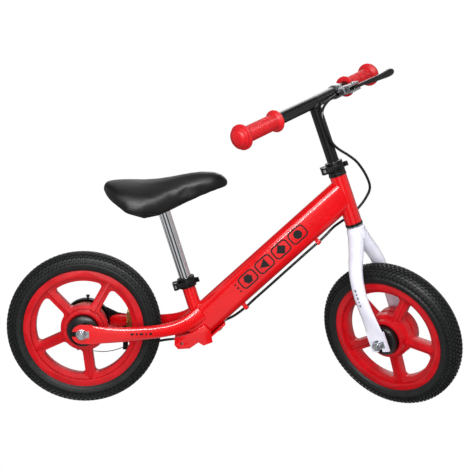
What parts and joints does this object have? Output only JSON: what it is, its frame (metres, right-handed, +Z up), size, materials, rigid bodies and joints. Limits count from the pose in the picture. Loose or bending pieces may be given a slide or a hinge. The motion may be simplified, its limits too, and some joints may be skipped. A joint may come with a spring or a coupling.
{
  "type": "balance bike",
  "caption": "Small child's two-wheeled balance bike with a turning fork and handlebar, height-adjustable seat and bar, moulded wheels and a hand-operated rear band brake.",
  "frame": {"origin": "on the floor, under the middle of the overall box", "axes": "+X forward, +Y to the rider's left, +Z up; the front end is stored turned about 42 degrees to the right"},
  "size_m": [0.851, 0.3545, 0.6512],
  "materials": {
    "red_paint": "gloss powder-coated",
    "black_plastic": "satin moulded",
    "black_paint": "semi-gloss powder-coated",
    "zinc_steel": "bright zinc plated",
    "lever_alloy": "polished die-cast",
    "chrome": "bright chrome plated",
    "yellow_zinc": "yellow passivated zinc",
    "brake_lining": "moulded friction lining",
    "cable_jacket": "extruded jacket",
    "red_wheel_plastic": "injection moulded, satin gloss",
    "tyre_foam": "foamed rubber with block tread",
    "white_paint": "gloss powder-coated",
    "grip_rubber": "soft moulded, fine ribs",
    "saddle_pan_plastic": "moulded",
    "saddle_skin": "smooth vinyl over foam"
  },
  "bodies": {
    "frame": {"main_tube": "red_paint", "head_tube": "red_paint", "seat_tube": "red_paint", "chainstay_right": "red_paint", "chainstay_left": "red_paint", "footrest_bracket": "red_paint", "bracket_bolt": "zinc_steel", "cable_guides": "red_paint", "upper_cup": "black_plastic", "lower_cup": "black_plastic", "headset_balls": "zinc_steel", "seat_clamp_collar": "black_paint", "seat_clamp_bolt": "zinc_steel", "rear_axle": "zinc_steel", "rear_nuts": "zinc_steel", "rear_washers": "zinc_steel", "brake_back_plate": "black_paint", "brake_band": "black_paint", "brake_lining": "brake_lining", "brake_adjuster": "black_paint", "brake_spring": "zinc_steel", "torque_strap": "yellow_zinc", "cable_stop": "black_plastic", "lower_housing": "cable_jacket", "inner_wire": "zinc_steel"},
    "rear_wheel": {"rear_rim": "red_wheel_plastic", "rear_tyre": "tyre_foam", "rear_hub_caps": "black_plastic", "rear_bearings": "zinc_steel", "brake_drum": "zinc_steel"},
    "front_wheel": {"front_rim": "red_wheel_plastic", "front_tyre": "tyre_foam", "front_hub_caps": "black_plastic", "front_bearings": "zinc_steel"},
    "steering": {"fork": "white_paint", "crown_race": "zinc_steel", "adjusting_cone": "black_paint", "front_axle": "zinc_steel", "front_nuts": "zinc_steel", "front_washers": "zinc_steel", "bar_clamp_collar": "black_paint", "bar_clamp_bolt": "zinc_steel"},
    "handlebar": {"handlebar": "black_paint", "grip_right": "grip_rubber", "grip_left": "grip_rubber", "lever_bracket": "lever_alloy", "lever_pivot": "zinc_steel", "barrel_adjuster": "black_plastic", "upper_housing": "cable_jacket"},
    "brake_lever": {"brake_lever": "black_paint"},
    "brake_arm": {"brake_arm": "black_paint", "wire_anchor": "zinc_steel"},
    "seat_post": {"seat_post": "chrome", "saddle_clamp": "black_paint"},
    "saddle": {"saddle_pan": "saddle_pan_plastic", "saddle_cover": "saddle_skin", "saddle_rails": "zinc_steel", "saddle_clamp_bolt": "zinc_steel"},
    "seat_clamp_lever": {"seat_clamp_lever": "black_paint"},
    "bar_clamp_lever": {"bar_clamp_lever": "black_paint"}
  },
  "joints": [
    {"name": "steering_turn", "type": "hinge", "parent": "frame", "child": "steering", "pos_m": [0.20474, 0, 0.40063], "axis": [-0.3633, 0, 0.9317], "range_deg": [-28, 112], "deforming": ["upper_housing"]},
    {"name": "bar_height", "type": "slide", "parent": "steering", "child": "handlebar", "axis": [-0.3633, 0, 0.9317], "range_m": [-0.05, 0.03]},
    {"name": "brake_lever_pull", "type": "hinge", "parent": "handlebar", "child": "brake_lever", "pos_m": [0.21726, 0.05625, 0.60794], "axis": [-0.3633, 0, 0.9317], "range_deg": [0, 20], "stiffness_Nm_per_rad": 0.15, "springref_deg": -17.19},
    {"name": "brake_arm_pull", "type": "hinge", "parent": "frame", "child": "brake_arm", "pos_m": [-0.28251, 0.054, 0.102], "axis": [0, -1, 0], "range_deg": [0, 16], "deforming": ["inner_wire"]},
    {"name": "front_wheel_spin", "type": "hinge", "parent": "steering", "child": "front_wheel", "pos_m": [0.30549, 0, 0.14219], "axis": [0.6234, 0.7431, 0.2431], "continuous": true},
    {"name": "rear_wheel_spin", "type": "hinge", "parent": "frame", "child": "rear_wheel", "pos_m": [-0.28051, 0, 0.145], "axis": [0, 1, 0], "continuous": true},
    {"name": "seat_height", "type": "slide", "parent": "frame", "child": "seat_post", "axis": [-0.3223, 0, 0.9466], "range_m": [-0.06, 0.03]},
    {"name": "saddle_tilt", "type": "hinge", "parent": "seat_post", "child": "saddle", "pos_m": [-0.13715, 0, 0.384], "axis": [0, 1, 0], "range_deg": [-8, 8]},
    {"name": "seat_clamp_open", "type": "hinge", "parent": "frame", "child": "seat_clamp_lever", "pos_m": [-0.10891, -0.015, 0.22989], "axis": [0.3223, 0, -0.9466], "range_deg": [0, 110]},
    {"name": "bar_clamp_open", "type": "hinge", "parent": "steering", "child": "bar_clamp_lever", "pos_m": [0.16101, -0.015, 0.45496], "axis": [0.3633, 0, -0.9317], "range_deg": [0, 110]}
  ],
  "couplings": [
    {"joint": "brake_arm_pull", "follows": "brake_lever_pull", "ratio": 0.8}
  ]
}
